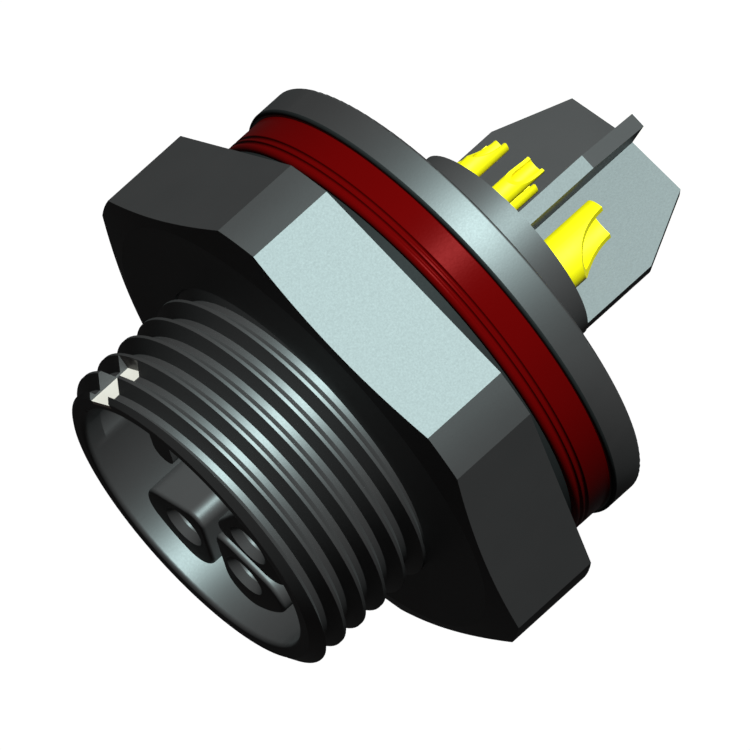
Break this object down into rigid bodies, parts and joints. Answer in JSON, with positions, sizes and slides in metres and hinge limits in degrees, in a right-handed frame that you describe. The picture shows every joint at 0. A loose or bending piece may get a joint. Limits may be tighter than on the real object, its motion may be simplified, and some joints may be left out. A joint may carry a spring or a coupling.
{
  "type": "hybrid connector",
  "caption": "Round panel receptacle with pie-shaped power towers, a lower signal block, hex nut, gasketed flange and solder cups between divider walls.",
  "frame": {"origin": "centre of the flange's sealing face", "axes": "+Z along the barrel towards the mating end, +Y towards the alignment mark"},
  "size_m": [0.0324, 0.0296, 0.0329],
  "materials": {
    "shell_plastic": "moulded, satin",
    "nut_plastic": "moulded, satin",
    "insert_plastic": "moulded, satin",
    "washer_plastic": "moulded, dull",
    "mark_plastic": "moulded, dull",
    "gasket_rubber": "moulded silicone",
    "seal_rubber": "moulded",
    "contact_gold": "gold plated",
    "spring_steel": "rolled"
  },
  "bodies": {
    "shell": {"shell": "shell_plastic", "alignment_mark": "mark_plastic", "panel_gasket": "gasket_rubber", "front_insulator": "insert_plastic", "rear_insulator": "insert_plastic", "insert_seal": "seal_rubber", "face_seal": "seal_rubber", "retaining_ring": "spring_steel", "power_contact_1": "contact_gold", "power_contact_2": "contact_gold", "power_contact_3": "contact_gold", "contact_spring_1": "spring_steel", "contact_spring_2": "spring_steel", "contact_spring_3": "spring_steel", "signal_contact_1": "contact_gold", "signal_contact_2": "contact_gold", "signal_contact_3": "contact_gold", "signal_contact_4": "contact_gold"},
    "washer": {"nut_washer": "washer_plastic"},
    "nut": {"hex_nut": "nut_plastic"}
  },
  "joints": [
    {"name": "nut_turn", "type": "hinge", "parent": "washer", "child": "nut", "pos_m": [0, 0, 0.0036], "axis": [0, 0, 1], "range_deg": [0, 3240]},
    {"name": "nut_travel", "type": "slide", "parent": "shell", "child": "washer", "axis": [0, 0, 1], "range_m": [0, 0.01351]}
  ],
  "couplings": [
    {"joint": "nut_travel", "follows": "nut_turn", "m_per_rad": 0.00023873}
  ]
}
